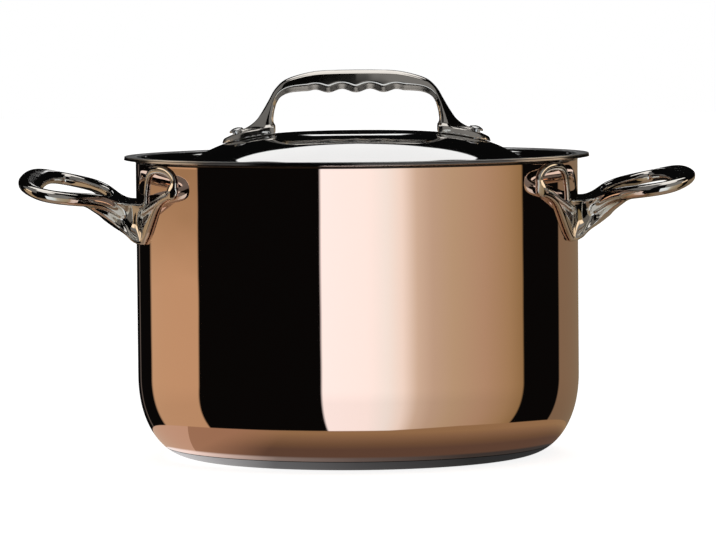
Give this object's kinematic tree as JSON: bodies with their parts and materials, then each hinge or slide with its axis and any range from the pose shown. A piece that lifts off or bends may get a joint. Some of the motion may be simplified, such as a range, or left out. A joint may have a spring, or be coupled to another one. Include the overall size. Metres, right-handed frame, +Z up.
{
  "type": "roasting pot",
  "caption": "Tall cooking pot with a polished copper outside, steel lining, cast steel side handles and a sunk domed lid with an arched handle.",
  "frame": {"origin": "centre of the underside of the base", "axes": "+Z up along the pot's axis; X runs through the two side handles and along the lid handle's grip; the picture looks along +Y"},
  "size_m": [0.3034, 0.2106, 0.1741],
  "materials": {
    "polished_copper": "mirror polished",
    "polished_steel": "mirror polished",
    "brushed_steel": "brushed",
    "rivet_steel": "polished"
  },
  "bodies": {
    "pot": {"copper_pot_shell": "polished_copper", "steel_lining": "brushed_steel", "magnetic_base_disc": "brushed_steel", "left_side_handle": "polished_steel", "left_rivet_a": "rivet_steel", "left_rivet_b": "rivet_steel", "left_rivet_lower": "rivet_steel", "right_side_handle": "polished_steel", "right_rivet_a": "rivet_steel", "right_rivet_b": "rivet_steel", "right_rivet_lower": "rivet_steel"},
    "lid": {"lid_shell": "polished_steel", "lid_handle": "polished_steel", "lid_rivet_left_front": "rivet_steel", "lid_rivet_left_back": "rivet_steel", "lid_rivet_right_front": "rivet_steel", "lid_rivet_right_back": "rivet_steel"}
  },
  "joints": [
    {"name": "lid_lift", "type": "slide", "parent": "pot", "child": "lid", "axis": [0, 0, 1], "range_m": [0, 0.08]}
  ]
}
